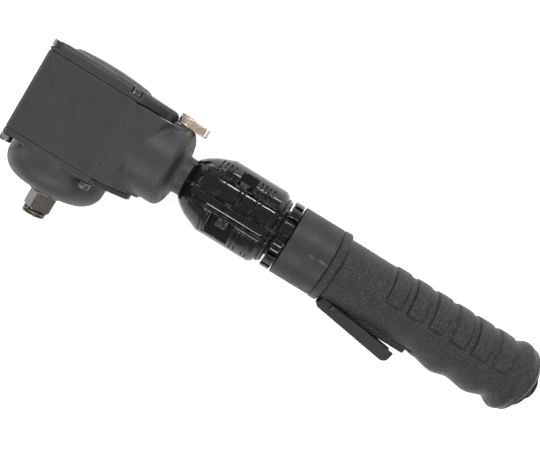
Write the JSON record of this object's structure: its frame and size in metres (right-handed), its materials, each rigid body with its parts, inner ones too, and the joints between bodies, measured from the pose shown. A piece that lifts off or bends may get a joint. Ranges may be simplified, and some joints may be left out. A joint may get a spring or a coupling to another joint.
{
  "type": "air angle wrench",
  "caption": "Compact air angle wrench: square-drive hammer head on a swivelling neck, clamp collar, slotted ring, rubber grip and thumb-pressed throttle lever.",
  "frame": {"origin": "centre of the flat tip face of the square drive", "axes": "+X along the handle away from the head, +Y up the drive axis away from the tip, +Z out of the head's flat side"},
  "size_m": [0.3391, 0.101, 0.0602],
  "materials": {
    "head_paint": "fine textured black paint",
    "gloss_black": "gloss black",
    "satin_black": "satin dark grey",
    "rubber": "leather-grained black rubber",
    "seal": "matte black",
    "tool_steel": "turned tool steel",
    "bright_steel": "ground steel",
    "dark_screw": "black oxide",
    "nickel": "warm nickel plate",
    "bronze": "sintered bronze",
    "aluminium": "machined",
    "resin": "phenolic resin",
    "felt": "wool felt"
  },
  "bodies": {
    "handle": {"handle_body": "satin_black", "collar_upper": "gloss_black", "collar_lower": "gloss_black", "clamp_bolt_1": "dark_screw", "clamp_bolt_2": "dark_screw", "clamp_nut_1": "dark_screw", "clamp_nut_2": "dark_screw", "rubber_grip": "rubber", "lever_pin": "bright_steel", "valve_bushing": "bronze", "valve_spring": "bright_steel", "muffler": "felt", "exhaust_cap": "satin_black", "inlet_bushing": "gloss_black", "inlet_screen": "bronze"},
    "head": {"head_housing": "head_paint", "rear_cover": "head_paint", "cover_gasket": "seal", "cover_screw_1": "dark_screw", "cover_screw_2": "dark_screw", "cover_screw_3": "dark_screw", "cover_screw_4": "dark_screw", "hammer_case": "head_paint", "nose_gasket": "seal", "nose_screw_1": "dark_screw", "nose_screw_2": "dark_screw", "nose_screw_3": "dark_screw", "nose_screw_4": "dark_screw", "anvil_bushing": "bronze", "motor_cylinder": "tool_steel", "motor_front_plate": "aluminium", "motor_rear_plate": "aluminium", "front_bearing": "bright_steel", "rear_bearing": "bright_steel", "swivel_spigot": "bright_steel", "o_ring_1": "seal", "o_ring_2": "seal"},
    "motor": {"rotor": "tool_steel", "vane_1": "resin", "vane_2": "resin", "vane_3": "resin", "vane_4": "resin", "vane_5": "resin", "vane_6": "resin", "hammer_cage": "tool_steel", "hammer_dog_1": "tool_steel", "hammer_dog_2": "tool_steel", "hammer_pin_1": "bright_steel", "hammer_pin_2": "bright_steel"},
    "anvil": {"anvil": "tool_steel", "friction_ring": "bright_steel", "anvil_o_ring": "seal"},
    "reverse": {"reverse_valve": "bronze", "reverse_lever": "nickel"},
    "lock_ring": {"lock_ring": "gloss_black"},
    "throttle": {"throttle_lever": "satin_black"},
    "stem": {"valve_stem": "bright_steel"}
  },
  "joints": [
    {"name": "head_swivel", "type": "hinge", "parent": "handle", "child": "head", "pos_m": [0.092, 0.0674, 0], "axis": [1, 0, 0], "range_deg": [-180, 180]},
    {"name": "rotor_spin", "type": "hinge", "parent": "head", "child": "motor", "pos_m": [0, 0.0674, 0], "axis": [0, 1, 0], "continuous": true},
    {"name": "anvil_spin", "type": "hinge", "parent": "head", "child": "anvil", "pos_m": [0, 0, 0], "axis": [0, 1, 0], "continuous": true},
    {"name": "reverse_turn", "type": "hinge", "parent": "head", "child": "reverse", "pos_m": [0.052, 0.0927, 0], "axis": [0, 1, 0], "range_deg": [-30, 30]},
    {"name": "lock_ring_turn", "type": "hinge", "parent": "handle", "child": "lock_ring", "pos_m": [0.1355, 0.0674, 0], "axis": [1, 0, 0], "range_deg": [-180, 180]},
    {"name": "throttle_press", "type": "hinge", "parent": "handle", "child": "throttle", "pos_m": [0.1825, 0.0467, 0], "axis": [0, 0, 1], "range_deg": [0, 8.5], "stiffness_Nm_per_rad": 1.5, "springref_deg": -8.59},
    {"name": "valve_push", "type": "slide", "parent": "handle", "child": "stem", "axis": [0, 1, 0], "range_m": [0, 0.0026], "deforming": ["valve_spring"]}
  ],
  "couplings": [
    {"joint": "anvil_spin", "follows": "rotor_spin", "ratio": 1},
    {"joint": "valve_push", "follows": "throttle_press", "m_per_rad": 0.0175}
  ]
}
